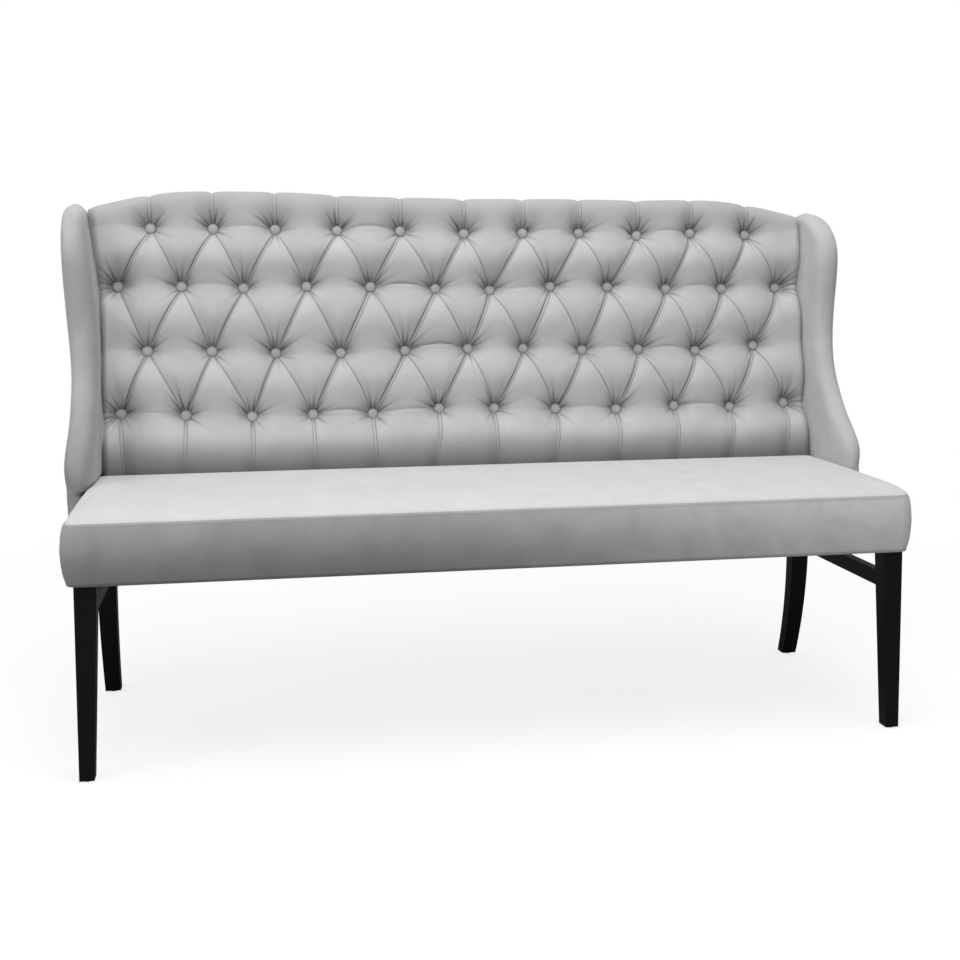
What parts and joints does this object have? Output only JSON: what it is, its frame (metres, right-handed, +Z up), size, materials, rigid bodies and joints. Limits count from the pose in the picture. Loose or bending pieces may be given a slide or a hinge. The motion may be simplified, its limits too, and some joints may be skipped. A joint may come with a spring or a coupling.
{
  "type": "upholstered wing-back bench",
  "caption": "Free-standing upholstered dining bench with a deep-buttoned raked back, shaped side wings, a box-edged seat, tapered front legs and sabre rear legs tied by side stretchers.",
  "frame": {"origin": "on the floor under the middle of the bench's overall width and depth", "axes": "+X to the right as seen from the front, -Y towards the front, +Z up"},
  "size_m": [1.6898, 0.661, 1.0776],
  "materials": {
    "black_wood": "satin black lacquer",
    "beech": "sawn, raw",
    "dowel_beech": "fluted, raw",
    "plywood": "sanded, raw",
    "velvet": "short pile velvet",
    "foam": "open-cell upholstery foam",
    "webbing": "woven elastic webbing",
    "dust_cloth": "non-woven cloth",
    "twine": "waxed twine",
    "zinc_steel": "zinc plated",
    "glide_plastic": "nylon"
  },
  "bodies": {
    "root": {"front_leg_left": "black_wood", "front_leg_right": "black_wood", "rear_post_left": "black_wood", "rear_post_right": "black_wood", "side_stretcher_left": "black_wood", "side_stretcher_right": "black_wood", "seat_front_rail": "beech", "seat_rear_rail": "beech", "seat_side_rail_left": "beech", "seat_side_rail_right": "beech", "seat_cross_rails": "beech", "seat_corner_blocks": "beech", "back_top_rail": "beech", "back_bottom_rail": "beech", "back_uprights": "beech", "stretcher_dowels": "dowel_beech", "seat_rail_dowels": "dowel_beech", "back_rail_dowels": "dowel_beech", "back_panel": "plywood", "wing_panel_left": "plywood", "wing_panel_right": "plywood", "seat_top_cover": "velvet", "seat_band_cover": "velvet", "back_front_cover": "velvet", "back_outside_cover": "velvet", "back_buttons": "velvet", "wing_cover_left": "velvet", "wing_cover_right": "velvet", "seat_foam": "foam", "back_foam": "foam", "wing_padding_left": "foam", "wing_padding_right": "foam", "seat_webbing": "webbing", "seat_dust_cover": "dust_cloth", "button_twines": "twine", "leg_bolts": "zinc_steel", "wing_bolts": "zinc_steel", "wing_tee_nuts": "zinc_steel", "leg_glides": "glide_plastic"}
  },
  "joints": []
}
